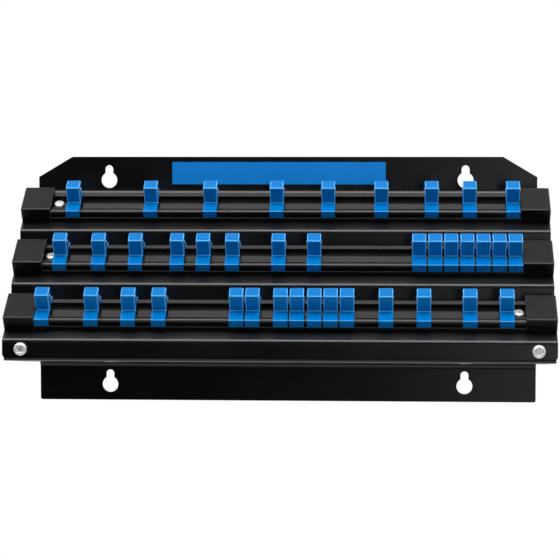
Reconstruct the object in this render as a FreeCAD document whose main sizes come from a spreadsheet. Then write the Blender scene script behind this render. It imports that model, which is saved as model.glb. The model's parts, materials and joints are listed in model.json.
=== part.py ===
import FreeCAD, Part
import os
import Sketcher

# Wall rack for sockets, in millimetres. X runs to the right along the rack, Y into the wall, Z up.
# The origin is the centre of the four keyholes, on the wall plane.

doc = FreeCAD.newDocument("SocketRack")
Vector = FreeCAD.Vector

# Driving sizes

SIZES = {
    # folded steel sheets
    "sheet_thickness": 2.0,
    "panel_bend_radius": 3.5,
    "bracket_bend_radius": 2.0,
    "wall_bend_radius": 6.0,
    "panel_width": 488.4,
    "plate_inset": 9.0,
    "bracket_inset": 1.0,
    "corner_cut_width": 32.0,
    "corner_cut_height": 19.0,
    "sheet_corner_radius": 1.8,
    # heights on the wall plates
    "plate_above_keyhole": 22.0,
    "keyhole_above_tread": 10.9,
    "plate_sides_above_tread": 3.4,
    "keyhole_below_web": 21.1,
    "plate_below_keyhole": 14.9,
    # stepped section
    "top_tread_extra": 6.1,
    "tread_run": 46.2,
    "tread_drop": 30.9,
    "riser_height": 15.7,
    "flange_height": 14.8,
    "band_height": 3.7,
    "web_fall": 15.7,
    "upturn_clearance": 0.5,
    # keyholes
    "keyhole_spacing": 336.4,
    "keyhole_entry": 15.0,
    "keyhole_neck": 7.5,
    "keyhole_rise": 10.3,
    # rails
    "rail_end_inset": 4.2,
    "rail_width": 31.0,
    "rail_height": 10.4,
    "rail_base_height": 3.9,
    "rail_base_reach": 0.8,
    "rail_head_height": 3.0,
    "rail_side_groove": 3.0,
    "rail_top_radius": 1.8,
    "rail_base_radius": 0.8,
    "rail_from_fold": 15.7,
    "slot_width": 18.8,
    "slot_depth": 4.2,
    "groove_inset": 3.3,
    "groove_width": 1.4,
    "groove_depth": 1.0,
    # end caps
    "cap_length": 27.3,
    "cap_height": 14.4,
    "cap_front_wall": 1.6,
    "cap_back_wall": 2.8,
    "cap_end_wall": 4.3,
    "cap_end_gap": 0.2,
    "cap_fit": 0.15,
    "cap_edge_radius": 1.2,
    # rail screws and nuts
    "rail_screw_from_cap": 6.3,
    "rail_screw_diameter": 4.0,
    "rail_screw_head": 9.6,
    "rail_screw_head_height": 3.1,
    "rail_screw_length": 12.0,
    "rail_nut_flats": 7.0,
    "rail_nut_height": 3.2,
    # panel screws and nuts
    "panel_screw_inset": 16.5,
    "panel_screw_drop": 7.8,
    "panel_screw_diameter": 6.0,
    "panel_screw_head": 11.6,
    "panel_screw_head_height": 4.2,
    "panel_screw_length": 12.0,
    "panel_nut_flats": 10.0,
    "panel_nut_height": 5.0,
    # fits of every screw, and the dome and cross recess of its head as shares of the head
    "hole_clearance": 0.5,
    "thread_gap": 0.03,
    "dome_share": 0.6,
    "recess_depth_share": 0.5,
    "recess_reach_share": 0.52,
    "recess_slot_share": 0.14,
    # clips
    "clip_width": 12.7,
    "saddle_thickness": 1.3,
    "skirt_thickness": 1.1,
    "clip_clearance": 0.2,
    "hook_reach": 1.8,
    "hook_gap": 0.2,
    "skirt_gap": 0.3,
    "clip_edge_radius": 0.5,
    "post_size": 12.7,
    "post_height": 16.4,
    "post_shift": 3.2,
    "post_corner_radius": 1.2,
    "post_tip_radius": 0.8,
    # ball catch across each post
    "ball_diameter": 5.0,
    "ball_proud": 0.7,
    "ball_below_tip": 6.0,
    "ball_mouth": 4.2,
    "bore_clearance": 0.1,
    "catch_gap": 0.02,
    "spring_diameter": 4.0,
    "spring_wire": 0.5,
    # room that no clip takes, between ball tips and at the caps
    "clip_gap": 0.1,
    "end_gap": 0.1,
    # label plate
    "label_width": 201.6,
    "label_height": 21.0,
    "label_thickness": 0.5,
    "label_shift": -7.4,
    "label_below_top": 5.0,
}

sheet = doc.addObject("Spreadsheet::Sheet", "Sizes")
for row, (alias, value) in enumerate(SIZES.items(), start=1):
    sheet.set(f"A{row}", alias)
    sheet.set(f"B{row}", str(value))
    sheet.setAlias(f"B{row}", alias)

# Lengths and angles that follow from the driving sizes, on a sheet of their own

layout = doc.addObject("Spreadsheet::Sheet", "Layout")
derived = []


def derive(name, formula):
    """One more line of the second sheet."""
    row = len(derived) + 1
    derived.append(name)
    layout.set(f"A{row}", name)
    layout.set(f"B{row}", "=" + formula)
    layout.setAlias(f"B{row}", name)
    doc.recompute()


ROWS = ("top", "middle", "bottom")
STEPS = len(ROWS)

derive("TreadAngle", "atan(Sizes.tread_drop / Sizes.tread_run)")
# half the turn of a step's bend, as the length of its straight side per unit of radius
derive("BendShare", "tan((90 deg - TreadAngle) / 2)")
derive("PlateWidth", "Sizes.panel_width - 2 * Sizes.plate_inset")
derive("BracketWidth", "Sizes.panel_width - 2 * Sizes.bracket_inset")
derive("RailLength", "Sizes.panel_width - 2 * Sizes.rail_end_inset")
derive("RailBaseWidth", "Sizes.rail_width + 2 * Sizes.rail_base_reach")
derive("StepHeight", "Sizes.tread_drop + Sizes.riser_height")
# the top tread reaches further back than the others, at the same slope
derive("ExtraDrop", "Sizes.top_tread_extra * tan(TreadAngle)")
derive("PanelDrop", f"{STEPS} * StepHeight - Sizes.riser_height + ExtraDrop")
derive("PanelDepth", f"{STEPS} * Sizes.tread_run + Sizes.top_tread_extra")
derive(
    "KeyholeHeight",
    "(Sizes.keyhole_above_tread + PanelDrop + Sizes.flange_height + Sizes.band_height"
    " + Sizes.web_fall + Sizes.keyhole_below_web) / 2",
)
derive("CornerHeight", "KeyholeHeight - Sizes.keyhole_above_tread")
derive("FoldHeight", "CornerHeight - PanelDrop")
derive("BandHeight", "FoldHeight - Sizes.flange_height - Sizes.band_height")
derive("WebHeight", "BandHeight - Sizes.web_fall")
derive(
    "UpturnHeight",
    "Sizes.flange_height + Sizes.band_height - Sizes.upturn_clearance"
    " - (Sizes.sheet_thickness + Sizes.panel_bend_radius) * BendShare",
)
# the rail's centre line, up the tread from the fold at its front
derive("RailFromFold", "Sizes.rail_from_fold + Sizes.rail_width / 2")
derive("CapOuter", "RailLength / 2 + Sizes.cap_end_gap + Sizes.cap_end_wall")
derive("CapInner", "CapOuter - Sizes.cap_length")
derive("RailScrewX", "CapInner - Sizes.rail_screw_from_cap")
derive("PanelScrewX", "Sizes.panel_width / 2 - Sizes.panel_screw_inset")
derive("SlotFloor", "Sizes.rail_height - Sizes.slot_depth")
derive("SaddleTop", "Sizes.rail_height + Sizes.clip_clearance + Sizes.saddle_thickness")
derive("ClipDepth", "Sizes.rail_width + 2 * (Sizes.clip_clearance + Sizes.skirt_thickness)")
derive("HeadUnderside", "Sizes.rail_height - Sizes.rail_head_height")
derive("HookTop", "HeadUnderside - Sizes.hook_gap")
derive("SkirtEnd", "Sizes.rail_base_height + Sizes.skirt_gap")
derive("BallHeight", "SaddleTop + Sizes.post_height - Sizes.ball_below_tip")
derive("BallCentre", "Sizes.post_size / 2 + Sizes.ball_proud - Sizes.ball_diameter / 2")
derive("CatchHalf", "BallCentre + sqrt(Sizes.ball_diameter^2 - Sizes.ball_mouth^2) / 2 + Sizes.catch_gap")
derive("SpringBore", "Sizes.spring_diameter - 2 * Sizes.spring_wire")
derive("SpringHalf", "BallCentre - sqrt(Sizes.ball_diameter^2 - SpringBore^2) / 2 - Sizes.catch_gap")
derive("ClipReach", "CapInner - Sizes.clip_width / 2 - Sizes.end_gap")
derive("ClipPitch", "Sizes.post_size + 2 * Sizes.ball_proud + Sizes.clip_gap")


def number(expression):
    """What an expression over the sizes comes to."""
    return float(layout.evalExpression(expression))


# Drawing and solid helpers


def sketch_on(body, name, plane):
    """A sketch on one of the body's own origin planes."""
    sketch = body.newObject("Sketcher::SketchObject", name)
    support = next(f for f in body.Origin.OriginFeatures if f.Role == plane)
    sketch.AttachmentSupport = [(support, "")]
    sketch.MapMode = "FlatFace"
    return sketch


def bind(sketch, kind, where, expression):
    """A dimension of the sketch, tied to the sizes."""
    index = sketch.addConstraint(Sketcher.Constraint(kind, *where, number(expression)))
    sketch.setExpression(f"Constraints[{index}]", expression)


def outline(sketch, points):
    """Closed run of lines through the points; returns the number of its first line."""
    first = sketch.GeometryCount
    count = len(points)
    for i in range(count):
        sketch.addGeometry(Part.LineSegment(points[i], points[(i + 1) % count]), False)
    for i in range(count):
        sketch.addConstraint(Sketcher.Constraint("Coincident", first + i, 2, first + (i + 1) % count, 1))
    return first


def rectangle(sketch, left, bottom, width, height):
    """Upright rectangle from its lower left corner."""
    x, y, w, h = (number(e) for e in (left, bottom, width, height))
    first = outline(sketch, [Vector(x, y), Vector(x + w, y), Vector(x + w, y + h), Vector(x, y + h)])
    sketch.addConstraint(Sketcher.Constraint("Horizontal", first))
    sketch.addConstraint(Sketcher.Constraint("Vertical", first + 1))
    sketch.addConstraint(Sketcher.Constraint("Horizontal", first + 2))
    sketch.addConstraint(Sketcher.Constraint("Vertical", first + 3))
    bind(sketch, "DistanceX", (-1, 1, first, 1), left)
    bind(sketch, "DistanceY", (-1, 1, first, 1), bottom)
    bind(sketch, "DistanceX", (first, 1, first, 2), width)
    bind(sketch, "DistanceY", (first + 1, 1, first + 1, 2), height)


def circle(sketch, x, y, diameter):
    """Circle round a point."""
    centre = Vector(number(x), number(y))
    index = sketch.addGeometry(Part.Circle(centre, Vector(0, 0, 1), number(diameter) / 2), False)
    bind(sketch, "DistanceX", (-1, 1, index, 3), x)
    bind(sketch, "DistanceY", (-1, 1, index, 3), y)
    bind(sketch, "Diameter", (index,), diameter)


def pad(body, name, sketch, length, centred=False, reverse=False):
    """Solid raised from a sketch."""
    feature = body.newObject("PartDesign::Pad", name)
    feature.Profile = sketch
    feature.setExpression("Length", length)
    feature.Midplane = centred
    feature.Reversed = reverse
    return feature


def pocket(body, name, sketch, length=None, centred=False, reverse=False):
    """Cut from a sketch, all the way through both ways where no length is given."""
    feature = body.newObject("PartDesign::Pocket", name)
    feature.Profile = sketch
    if length is None:
        feature.Type = "ThroughAll"
        feature.Midplane = True
    else:
        feature.setExpression("Length", length)
        feature.Midplane = centred
        feature.Reversed = reverse
    return feature


def round_edges(body, name, feature, radius, wanted):
    """Rounds the feature's edges that the test picks out."""
    doc.recompute()
    names = [f"Edge{i}" for i, edge in enumerate(feature.Shape.Edges, start=1) if wanted(edge)]
    fillet = body.newObject("PartDesign::Fillet", name)
    fillet.Base = (feature, names)
    fillet.setExpression("Radius", radius)
    return fillet


def along(edge, axis):
    """Whether an edge is straight and runs along X, Y or Z."""
    ends = [vertex.Point for vertex in edge.Vertexes]
    if len(ends) < 2:
        return False
    run = ends[1] - ends[0]
    return abs(edge.Length - run.Length) < 1e-6 and abs(abs(getattr(run, axis)) - run.Length) < 1e-6


def near(value, expression):
    """Whether a coordinate lies at an expression's value."""
    return abs(value - number(expression)) < 1e-3


# Folded sheets

TURN = Vector(0, 0, 1)


def sheet_section(body, start, steps):
    """One sheet folded along X. Its shown face runs in the YZ plane from the start point down or out along
    the steps, each given as its travel in Y and Z, and its hidden face lies a sheet's thickness to the left
    of that run. Returns the sketch, the corners of both faces, and which way the sheet turns at each fold."""
    shown = [Vector(number(start[0]), number(start[1]))]
    for travel in steps:
        shown.append(shown[-1] + Vector(number(travel[0]), number(travel[1])))
    thickness = number("Sizes.sheet_thickness")
    runs = [(shown[i + 1] - shown[i]).normalize() for i in range(len(steps))]
    lefts = [TURN.cross(run) for run in runs]
    hidden = [shown[0] + lefts[0] * thickness]
    for i in range(1, len(steps)):
        across = (lefts[i - 1] + lefts[i]).normalize()
        hidden.append(shown[i] + across * (thickness / across.dot(lefts[i])))
    hidden.append(shown[-1] + lefts[-1] * thickness)

    sketch = sketch_on(body, body.Name + "_section", "YZ_Plane")
    first = outline(sketch, shown + hidden[::-1])
    last = first + 2 * len(steps) + 1
    bind(sketch, "DistanceX", (-1, 1, first, 1), start[0])
    bind(sketch, "DistanceY", (-1, 1, first, 1), start[1])
    for i, (across, up) in enumerate(steps):
        line = first + i
        facing = last - 1 - i
        if across == "0":
            sketch.addConstraint(Sketcher.Constraint("Vertical", line))
        else:
            bind(sketch, "DistanceX", (line, 1, line, 2), across)
        bind(sketch, "DistanceY", (line, 1, line, 2), up)
        sketch.addConstraint(Sketcher.Constraint("Parallel", line, facing))
        bind(sketch, "Distance", (facing, 1, line), "Sizes.sheet_thickness")
    sketch.addConstraint(Sketcher.Constraint("Horizontal", first + len(steps)))
    sketch.addConstraint(Sketcher.Constraint("Horizontal", last))
    turns = [runs[i].cross(runs[i + 1]).z for i in range(len(steps) - 1)]
    return sketch, shown, hidden, turns


def round_folds(body, feature, shown, hidden, turns, radii):
    """Rounds every fold, inside by its radius, and outside by that and the sheet's thickness."""
    inner = {}
    outer = {}
    for i, turn in enumerate(turns):
        corner_in, corner_out = (hidden[i + 1], shown[i + 1]) if turn > 0 else (shown[i + 1], hidden[i + 1])
        inner.setdefault(radii[i], []).append(corner_in)
        outer.setdefault(radii[i], []).append(corner_out)
    for side, groups, extra in (("inside", inner, ""), ("outside", outer, " + Sizes.sheet_thickness")):
        for radius, corners in groups.items():

            def at_corner(edge, corners=corners):
                point = edge.Vertexes[0].Point
                return along(edge, "x") and any(
                    abs(point.y - c.x) < 1e-3 and abs(point.z - c.y) < 1e-3 for c in corners
                )

            name = f"{body.Name}_{side}_{radius.split('.')[1]}"
            feature = round_edges(body, name, feature, radius + extra, at_corner)
    return feature


def keyholes(body, height):
    """Two keyholes: a round entry for a screw's head, and a neck above it for the screw's shank."""
    entries = sketch_on(body, body.Name + "_entries", "XZ_Plane")
    necks = sketch_on(body, body.Name + "_necks", "XZ_Plane")
    for side in ("-", ""):
        x = f"{side}Sizes.keyhole_spacing / 2"
        circle(entries, x, height, "Sizes.keyhole_entry")
        rectangle(necks, f"{x} - Sizes.keyhole_neck / 2", height, "Sizes.keyhole_neck", "Sizes.keyhole_rise")
    pocket(body, body.Name + "_entry_holes", entries)
    pocket(body, body.Name + "_neck_slots", necks)
    seats = sketch_on(body, body.Name + "_seats", "XZ_Plane")
    seat_height = f"{height} + Sizes.keyhole_rise"
    for side in ("-", ""):
        circle(seats, f"{side}Sizes.keyhole_spacing / 2", seat_height, "Sizes.keyhole_neck")
    return pocket(body, body.Name + "_seat_rounds", seats)


def panel_screw_holes(body):
    """Clearance holes through a front flange."""
    sketch = sketch_on(body, body.Name + "_flange_holes", "XZ_Plane")
    for side in ("-", ""):
        circle(
            sketch,
            f"{side}Layout.PanelScrewX",
            "Layout.FoldHeight - Sizes.panel_screw_drop",
            "Sizes.panel_screw_diameter + Sizes.hole_clearance",
        )
    # the holes pass through the front flange only, not the wall plate behind it
    feature = body.newObject("PartDesign::Pocket", body.Name + "_flange_bores")
    feature.Profile = sketch
    feature.Type = "ThroughAll"
    feature.Reversed = True
    return feature


# Stepped panel: the upper wall plate, three sloping treads with risers between, and the front flange

panel = doc.addObject("PartDesign::Body", "StepPanel")
panel.Label = "stepped_panel"
panel_steps = [("0", "-(Sizes.keyhole_above_tread + Sizes.plate_above_keyhole)")]
for step in range(STEPS):
    if step == 0:
        panel_steps.append(
            ("-(Sizes.tread_run + Sizes.top_tread_extra)", "-(Sizes.tread_drop + Layout.ExtraDrop)")
        )
    else:
        panel_steps.append(("-Sizes.tread_run", "-Sizes.tread_drop"))
    if step < STEPS - 1:
        panel_steps.append(("0", "-Sizes.riser_height"))
panel_steps.append(("0", "-Sizes.flange_height"))
panel_top = ("-Sizes.sheet_thickness", "Layout.KeyholeHeight + Sizes.plate_above_keyhole")
section, shown, hidden, turns = sheet_section(panel, panel_top, panel_steps)
blank = pad(panel, "StepPanel_blank", section, "Sizes.panel_width", centred=True)
fold_radii = ["Sizes.wall_bend_radius"] + ["Sizes.panel_bend_radius"] * (len(turns) - 1)
round_folds(panel, blank, shown, hidden, turns, fold_radii)

# the wall plate is narrower than the treads, with its upper corners cut off
trim = sketch_on(panel, "StepPanel_trim", "XZ_Plane")
for side in (-1, 1):
    sign = "-" if side < 0 else ""
    edge_x = f"{sign}Layout.PlateWidth / 2"
    out_x = f"{sign}Sizes.panel_width / 2"
    low = "Layout.CornerHeight + Sizes.plate_sides_above_tread"
    high = "Layout.KeyholeHeight + Sizes.plate_above_keyhole"
    cut_x = number(edge_x) - side * number("Sizes.corner_cut_width")
    points = [
        Vector(number(edge_x), number(low)),
        Vector(number(out_x), number(low)),
        Vector(number(out_x), number(high)),
        Vector(cut_x, number(high)),
        Vector(number(edge_x), number(high) - number("Sizes.corner_cut_height")),
    ]
    first = outline(trim, points)
    trim.addConstraint(Sketcher.Constraint("Horizontal", first))
    trim.addConstraint(Sketcher.Constraint("Vertical", first + 1))
    trim.addConstraint(Sketcher.Constraint("Horizontal", first + 2))
    trim.addConstraint(Sketcher.Constraint("Vertical", first + 4))
    bind(trim, "DistanceX", (-1, 1, first, 1), edge_x)
    bind(trim, "DistanceY", (-1, 1, first, 1), low)
    bind(trim, "DistanceX", (-1, 1, first, 2), out_x)
    bind(trim, "DistanceY", (-1, 1, first + 1, 2), high)
    bind(trim, "DistanceX", (-1, 1, first + 3, 1), f"{edge_x} - ({side}) * Sizes.corner_cut_width")
    bind(trim, "DistanceY", (-1, 1, first + 3, 2), f"{high} - Sizes.corner_cut_height")
pocket(panel, "StepPanel_trimmed", trim)
keyholes(panel, "Layout.KeyholeHeight")
panel_screw_holes(panel)

round_edges(
    panel,
    "StepPanel_corners",
    panel.Tip,
    "Sizes.sheet_corner_radius",
    lambda edge: along(edge, "y")
    and near(abs(edge.CenterOfMass.x), "Sizes.panel_width / 2")
    and near(edge.CenterOfMass.z, "Layout.FoldHeight - Sizes.flange_height"),
)


def rail_place(row):
    """Y and Z of a rail's centre line, where it meets its tread."""
    return (
        f"-(Sizes.sheet_thickness + Sizes.top_tread_extra + {row + 1} * Sizes.tread_run)"
        " + Layout.RailFromFold * cos(Layout.TreadAngle)",
        f"Layout.CornerHeight - Sizes.tread_drop - Layout.ExtraDrop - {row} * Layout.StepHeight"
        " + Layout.RailFromFold * sin(Layout.TreadAngle)",
    )


# a hole under each rail screw, square to its tread
for row, name in enumerate(ROWS):
    holes = sketch_on(panel, f"StepPanel_{name}_holes", "XY_Plane")
    holes.AttachmentOffset = FreeCAD.Placement(Vector(), FreeCAD.Rotation(Vector(1, 0, 0), 30))
    holes.setExpression("AttachmentOffset.Rotation.Angle", "Layout.TreadAngle")
    across, up = rail_place(row)
    holes.setExpression("AttachmentOffset.Base.y", across)
    holes.setExpression("AttachmentOffset.Base.z", up)
    for side in ("-", ""):
        circle(holes, f"{side}Layout.RailScrewX", "0", "Sizes.rail_screw_diameter + Sizes.hole_clearance")
    # half of this depth goes into the tread, so each hole passes right through it
    pocket(panel, f"StepPanel_{name}_bores", holes, "4 * Sizes.sheet_thickness", centred=True)

# Lower bracket: the lower wall plate, the web out to the front, and the flange turned up behind the panel's

bracket = doc.addObject("PartDesign::Body", "Bracket")
bracket.Label = "lower_bracket"
upturn_top = ("-Layout.PanelDepth", "Layout.BandHeight + Layout.UpturnHeight")
bracket_steps = [
    ("0", "-Layout.UpturnHeight"),
    ("Layout.PanelDepth - Sizes.sheet_thickness", "-Sizes.web_fall"),
    ("0", "-(Sizes.keyhole_below_web + Sizes.plate_below_keyhole)"),
]
section, shown, hidden, turns = sheet_section(bracket, upturn_top, bracket_steps)
blank = pad(bracket, "Bracket_blank", section, "Layout.BracketWidth", centred=True)
round_folds(bracket, blank, shown, hidden, turns, ["Sizes.bracket_bend_radius", "Sizes.wall_bend_radius"])

# the wall plate and the bend above it are narrower than the rest
trim = sketch_on(bracket, "Bracket_trim", "XZ_Plane")
low = "-Layout.KeyholeHeight - Sizes.plate_below_keyhole"
trim_height = (
    "Layout.WebHeight + 2 * Sizes.sheet_thickness"
    " + Layout.KeyholeHeight + Sizes.plate_below_keyhole"
)
side_width = "(Layout.BracketWidth - Layout.PlateWidth) / 2"
rectangle(trim, "Layout.PlateWidth / 2", low, side_width, trim_height)
rectangle(trim, "-Layout.BracketWidth / 2", low, side_width, trim_height)
pocket(bracket, "Bracket_trimmed", trim, "Sizes.sheet_thickness + 2 * Sizes.wall_bend_radius", reverse=True)
keyholes(bracket, "-Layout.KeyholeHeight")
panel_screw_holes(bracket)
round_edges(
    bracket,
    "Bracket_corners",
    bracket.Tip,
    "Sizes.sheet_corner_radius",
    lambda edge: along(edge, "y")
    and near(abs(edge.CenterOfMass.x), "Layout.PlateWidth / 2")
    and near(edge.CenterOfMass.z, "-Layout.KeyholeHeight - Sizes.plate_below_keyhole"),
)


# Pieces on a tread. Each is drawn on the rail's own axes: X along the rail from its middle, Y across it
# towards the wall, and Z up from the tread's face.


def seat_on_tread(piece, row):
    """Places a piece on a tread, on the rail's centre line."""
    piece.Placement = FreeCAD.Placement(Vector(), FreeCAD.Rotation(Vector(1, 0, 0), 30))
    piece.setExpression("Placement.Rotation.Angle", "Layout.TreadAngle")
    across, up = rail_place(row)
    piece.setExpression("Placement.Base.y", across)
    piece.setExpression("Placement.Base.z", up)


# Rails: a base and a slightly narrower head with a groove between them along each side, a wide slot along the
# top of the head and a fine groove in its front rim


def rail(name, row):
    body = doc.addObject("PartDesign::Body", f"Rail_{name}")
    body.Label = f"rail_{name}"
    base = sketch_on(body, f"Rail_{name}_base_section", "YZ_Plane")
    rectangle(base, "-Layout.RailBaseWidth / 2", "0", "Layout.RailBaseWidth", "Sizes.rail_base_height")
    pad(body, f"Rail_{name}_base", base, "Layout.RailLength", centred=True)
    web = sketch_on(body, f"Rail_{name}_web_section", "YZ_Plane")
    web_half = "(Sizes.rail_width / 2 - Sizes.rail_side_groove)"
    web_height = "Layout.HeadUnderside - Sizes.rail_base_height"
    rectangle(web, f"-{web_half}", "Sizes.rail_base_height", f"2 * {web_half}", web_height)
    pad(body, f"Rail_{name}_web", web, "Layout.RailLength", centred=True)
    head = sketch_on(body, f"Rail_{name}_head_section", "YZ_Plane")
    rectangle(head, "-Sizes.rail_width / 2", "Layout.HeadUnderside", "Sizes.rail_width", "Sizes.rail_head_height")
    bar = pad(body, f"Rail_{name}_head", head, "Layout.RailLength", centred=True)
    for word, radius, width, height in (
        ("top", "Sizes.rail_top_radius", "Sizes.rail_width", "Sizes.rail_height"),
        ("base", "Sizes.rail_base_radius", "Layout.RailBaseWidth", "Sizes.rail_base_height"),
    ):

        def side_edge(edge, width=width, height=height):
            point = edge.Vertexes[0].Point
            return along(edge, "x") and near(abs(point.y), f"{width} / 2") and near(point.z, height)

        bar = round_edges(body, f"Rail_{name}_{word}_rounds", bar, radius, side_edge)
    slot = sketch_on(body, f"Rail_{name}_slot_section", "YZ_Plane")
    rectangle(slot, "-Sizes.slot_width / 2", "Layout.SlotFloor", "Sizes.slot_width", "Sizes.slot_depth")
    pocket(body, f"Rail_{name}_slot", slot)
    groove = sketch_on(body, f"Rail_{name}_groove_section", "YZ_Plane")
    groove_left = "-(Sizes.rail_width / 2 - Sizes.groove_inset)"
    groove_floor = "Sizes.rail_height - Sizes.groove_depth"
    rectangle(groove, groove_left, groove_floor, "Sizes.groove_width", "Sizes.groove_depth")
    pocket(body, f"Rail_{name}_groove", groove)
    holes = sketch_on(body, f"Rail_{name}_screw_places", "XY_Plane")
    for side in ("-", ""):
        circle(holes, f"{side}Layout.RailScrewX", "0", "Sizes.rail_screw_diameter + Sizes.hole_clearance")
    pocket(body, f"Rail_{name}_screw_holes", holes)
    seat_on_tread(body, row)
    return body


# End caps: moulded boxes, open underneath, that push over the rail's ends


def end_cap(name, row, side):
    word = "left" if side < 0 else "right"
    key = f"Cap_{name}_{word}"
    body = doc.addObject("PartDesign::Body", key)
    body.Label = f"end_cap_{name}_{word}"
    box = sketch_on(body, f"{key}_section", "YZ_Plane")
    front = "-(Sizes.rail_width / 2 + Sizes.cap_front_wall)"
    depth = "Sizes.rail_width + Sizes.cap_front_wall + Sizes.cap_back_wall"
    rectangle(box, front, "0", depth, "Sizes.cap_height")
    shell = pad(body, f"{key}_box", box, "Sizes.cap_length", reverse=side < 0)

    def outer_edge(edge):
        point = edge.CenterOfMass
        at_end = near(abs(point.x), "Sizes.cap_length")
        at_top = near(point.z, "Sizes.cap_height")
        upright = along(edge, "z") and at_end
        return upright or (at_top and (along(edge, "x") or at_end))

    round_edges(body, f"{key}_rounds", shell, "Sizes.cap_edge_radius", outer_edge)
    depth_in = "Sizes.cap_length - Sizes.cap_end_wall"
    for level, width, height in (
        ("head", "Sizes.rail_width", "Sizes.rail_height"),
        ("base", "Layout.RailBaseWidth", "Sizes.rail_base_height"),
    ):
        cavity = sketch_on(body, f"{key}_{level}_cavity_section", "YZ_Plane")
        cavity_half = f"({width} / 2 + Sizes.cap_fit)"
        rectangle(cavity, f"-{cavity_half}", "0", f"2 * {cavity_half}", f"{height} + Sizes.cap_fit")
        pocket(body, f"{key}_{level}_cavity", cavity, depth_in, reverse=side > 0)
    seat_on_tread(body, row)
    body.setExpression("Placement.Base.x", f"({side}) * Layout.CapInner")
    return body


# Screws and nuts


def pan_screw(key, diameter, head, head_height, length):
    """Cross-recess pan head screw with its head's underside at the origin and its shank down Z."""
    body = doc.addObject("PartDesign::Body", key)
    disc = sketch_on(body, f"{key}_head_circle", "XY_Plane")
    circle(disc, "0", "0", head)
    crown = pad(body, f"{key}_head", disc, head_height)
    dome = round_edges(
        body,
        f"{key}_dome",
        crown,
        f"Sizes.dome_share * {head_height}",
        lambda edge: near(edge.CenterOfMass.z, head_height),
    )
    round_shank = sketch_on(body, f"{key}_shank_circle", "XY_Plane")
    circle(round_shank, "0", "0", diameter)
    pad(body, f"{key}_shank", round_shank, length, reverse=True)
    reach = f"Sizes.recess_reach_share * {head}"
    narrow = f"Sizes.recess_slot_share * {head}"
    for word, across, up in (("wide", reach, narrow), ("tall", narrow, reach)):
        slot = sketch_on(body, f"{key}_{word}_slot", "XY_Plane")
        slot.setExpression("AttachmentOffset.Base.z", head_height)
        rectangle(slot, f"-{across} / 2", f"-{up} / 2", across, up)
        pocket(body, f"{key}_{word}_recess", slot, f"Sizes.recess_depth_share * {head_height}")
    return body


def hex_nut(key, flats, bore, height):
    """Hexagon nut with its upper face at the origin and its body down Z."""
    prism = doc.addObject("Part::Prism", f"{key}_hexagon")
    prism.Polygon = 6
    prism.setExpression("Circumradius", f"{flats} / sqrt(3)")
    prism.setExpression("Height", height)
    drill = doc.addObject("Part::Cylinder", f"{key}_bore")
    drill.setExpression("Radius", f"{bore} / 2 + Sizes.thread_gap")
    drill.setExpression("Height", height)
    nut = doc.addObject("Part::Cut", key)
    nut.Base = prism
    nut.Tool = drill
    return nut


def pair(key, piece):
    """The piece and its mirror image on the other end of the rack."""
    twin = doc.addObject("Part::Mirroring", f"{key}_twin")
    twin.Source = piece
    twin.Normal = Vector(1, 0, 0)
    return [piece, twin]


def group(label, pieces):
    """Separate solids kept under one name."""
    compound = doc.addObject("Part::Compound", "Group_" + label)
    compound.Label = label
    compound.Links = pieces
    return compound


sub_parts = [panel, bracket]

rail_screw = pan_screw(
    "RailScrew",
    "Sizes.rail_screw_diameter",
    "Sizes.rail_screw_head",
    "Sizes.rail_screw_head_height",
    "Sizes.rail_screw_length",
)
rail_screw.setExpression("Placement.Base.x", "Layout.RailScrewX")
rail_screw.setExpression("Placement.Base.z", "Layout.SlotFloor")
rail_nut = hex_nut(
    "RailNut",
    "Sizes.rail_nut_flats",
    "Sizes.rail_screw_diameter",
    "Sizes.rail_nut_height",
)
rail_nut.setExpression("Placement.Base.x", "Layout.RailScrewX")
rail_nut.setExpression("Placement.Base.z", "-Sizes.sheet_thickness - Sizes.rail_nut_height")
rail_screws = pair("RailScrew", rail_screw)
rail_nuts = pair("RailNut", rail_nut)

for row, name in enumerate(ROWS):
    sub_parts.append(rail(name, row))
    sub_parts.append(end_cap(name, row, -1))
    sub_parts.append(end_cap(name, row, 1))
    for label, pieces in ((f"rail_screws_{name}", rail_screws), (f"rail_nuts_{name}", rail_nuts)):
        fasteners = group(label, pieces)
        seat_on_tread(fasteners, row)
        sub_parts.append(fasteners)

panel_screw = pan_screw(
    "PanelScrew",
    "Sizes.panel_screw_diameter",
    "Sizes.panel_screw_head",
    "Sizes.panel_screw_head_height",
    "Sizes.panel_screw_length",
)
panel_nut = hex_nut(
    "PanelNut",
    "Sizes.panel_nut_flats",
    "Sizes.panel_screw_diameter",
    "Sizes.panel_nut_height",
)
facing_out = FreeCAD.Placement(Vector(), FreeCAD.Rotation(Vector(1, 0, 0), 90))
for piece, depth in ((panel_screw, "0"), (panel_nut, "2 * Sizes.sheet_thickness + Sizes.panel_nut_height")):
    piece.Placement = facing_out
    piece.setExpression("Placement.Base.x", "Layout.PanelScrewX")
    piece.setExpression("Placement.Base.y", f"-(Sizes.sheet_thickness + Layout.PanelDepth) + {depth}")
    piece.setExpression("Placement.Base.z", "Layout.FoldHeight - Sizes.panel_screw_drop")
sub_parts.append(group("panel_screws", pair("PanelScrew", panel_screw)))
sub_parts.append(group("panel_nuts", pair("PanelNut", panel_nut)))

# Label plate on the upper wall plate

label = doc.addObject("Part::Box", "LabelPlate")
label.Label = "label_plate"
label.setExpression("Length", "Sizes.label_width")
label.setExpression("Width", "Sizes.label_thickness")
label.setExpression("Height", "Sizes.label_height")
label.setExpression("Placement.Base.x", "Sizes.label_shift - Sizes.label_width / 2")
label.setExpression("Placement.Base.y", "-Sizes.sheet_thickness - Sizes.label_thickness")
label.setExpression(
    "Placement.Base.z",
    "Layout.KeyholeHeight + Sizes.plate_above_keyhole - Sizes.label_below_top - Sizes.label_height",
)
sub_parts.append(label)

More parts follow.
